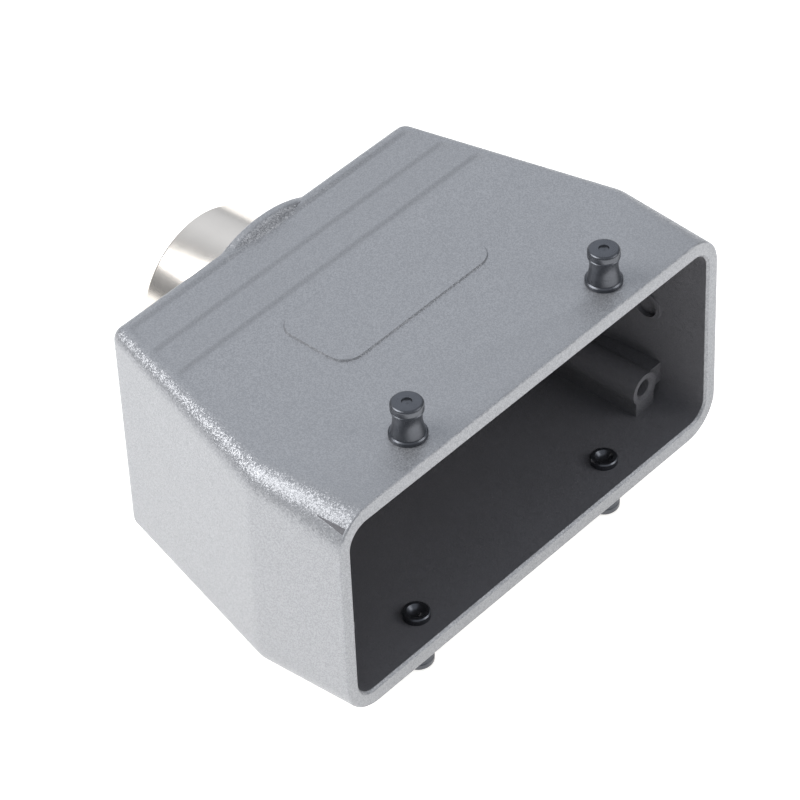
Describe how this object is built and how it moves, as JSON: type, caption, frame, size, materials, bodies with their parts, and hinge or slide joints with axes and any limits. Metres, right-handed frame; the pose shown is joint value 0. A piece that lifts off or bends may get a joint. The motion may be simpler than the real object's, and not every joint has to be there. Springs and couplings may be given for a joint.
{
  "type": "heavy duty rectangular connector hood",
  "caption": "Die-cast cable hood of a heavy duty rectangular connector, with locking studs, insert posts and a threaded metal cable neck at the back.",
  "frame": {"origin": "centre of the part's box at its lowest level, where the two lower locking studs stand", "axes": "+X along the long side of the mouth, +Y from the mouth to the cable entry, +Z out of the upper broad side"},
  "size_m": [0.094, 0.076, 0.0572],
  "materials": {
    "die_cast": "die-cast, satin grey powder coat with a fine metallic sparkle",
    "stud_steel": "dark turned steel",
    "nickel": "bright nickel plate",
    "seal": "matte black rubber"
  },
  "bodies": {
    "root": {"hood": "die_cast", "stud_top_left": "stud_steel", "stud_top_right": "stud_steel", "stud_bottom_left": "stud_steel", "stud_bottom_right": "stud_steel", "cable_neck": "nickel", "neck_seal": "seal"}
  },
  "joints": []
}
